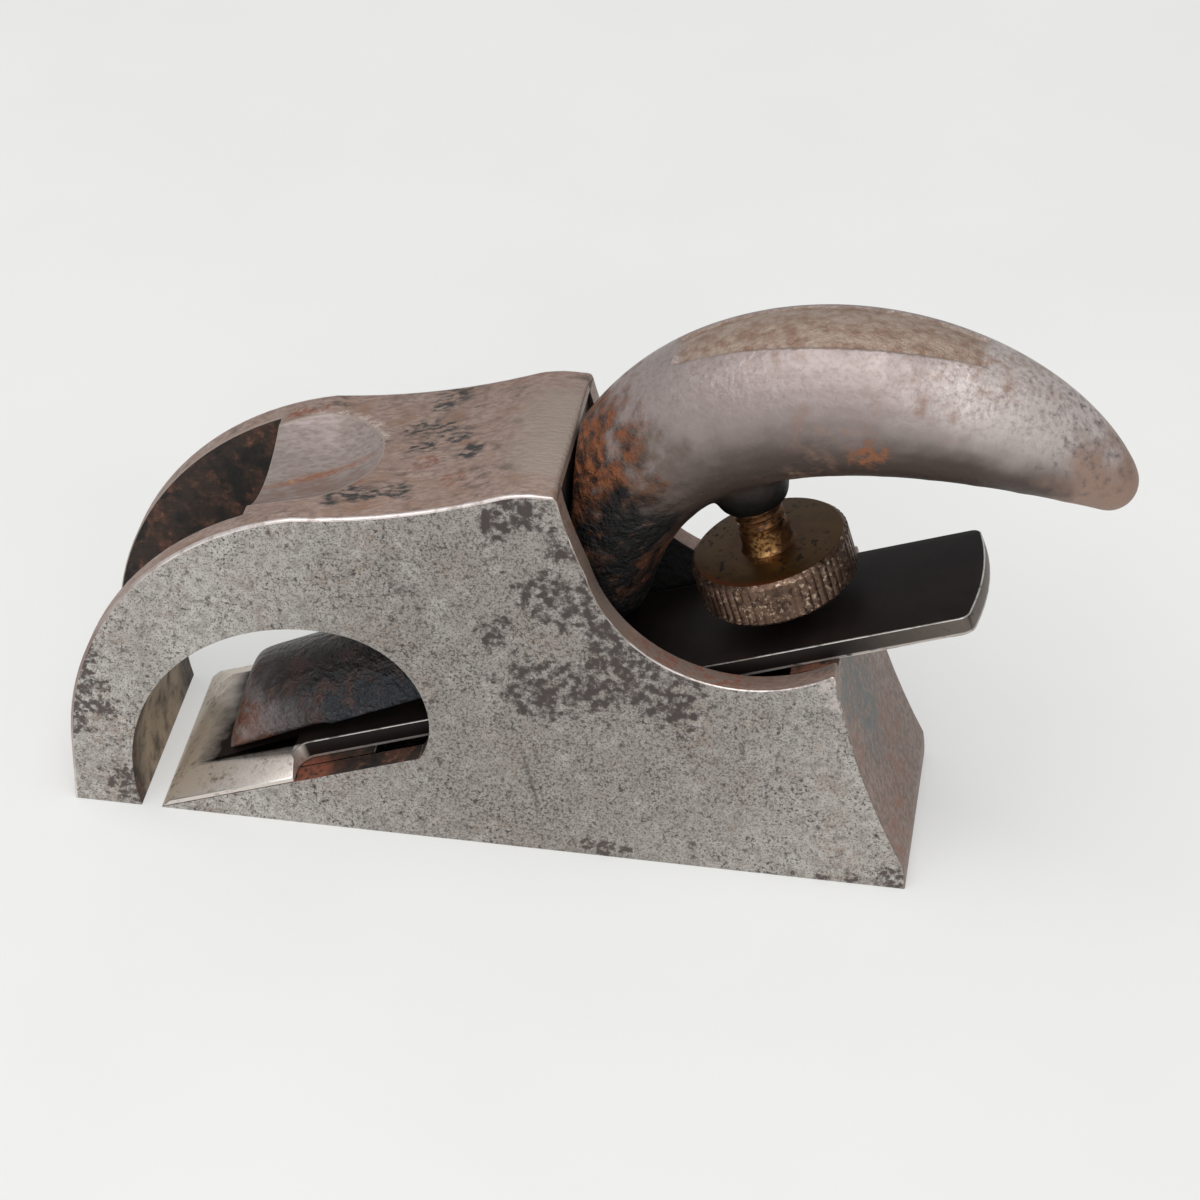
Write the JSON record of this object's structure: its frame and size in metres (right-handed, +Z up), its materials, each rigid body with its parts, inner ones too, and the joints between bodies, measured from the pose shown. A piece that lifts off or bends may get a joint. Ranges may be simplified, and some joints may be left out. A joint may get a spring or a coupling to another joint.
{
  "type": "bullnose rebate plane",
  "caption": "Small cast-iron bullnose rebate plane: arched body with open sides, low-angle cutter, and a horn-shaped lever cap clamped by a knurled thumb screw.",
  "frame": {"origin": "middle of the sole, on the sole's plane and half way between the two ground sides", "axes": "+X from the nose to the heel, +Y to the far side, +Z up from the sole"},
  "size_m": [0.1239, 0.027, 0.0703],
  "materials": {
    "body_iron": "ground sides, aged brown castings",
    "cutter_steel": "dark tarnish with bright worn edges",
    "lever_iron": "hand-worn casting with rust and remnants of black japanning",
    "screw_brass": "worn plating over tarnished brass, straight knurl"
  },
  "bodies": {
    "body": {"body": "body_iron"},
    "cutter": {"cutter": "cutter_steel"},
    "lever_cap": {"lever_cap": "lever_iron"},
    "thumb_screw": {"thumb_screw": "screw_brass"}
  },
  "joints": [
    {"name": "cutter_set", "type": "slide", "parent": "body", "child": "cutter", "axis": [0.9391, 0, 0.3437], "range_m": [-0.001, 0.01]},
    {"name": "screw_turn", "type": "hinge", "parent": "body", "child": "thumb_screw", "pos_m": [0.034, 0, 0.0298], "axis": [-0.2957, 0, 0.9553], "range_deg": [0, 360]},
    {"name": "lever_rock", "type": "hinge", "parent": "body", "child": "lever_cap", "pos_m": [0.003, 0, 0.037], "axis": [0, 1, 0], "range_deg": [0, 2.75]}
  ],
  "couplings": [
    {"joint": "lever_rock", "follows": "screw_turn", "ratio": 0.00758}
  ]
}
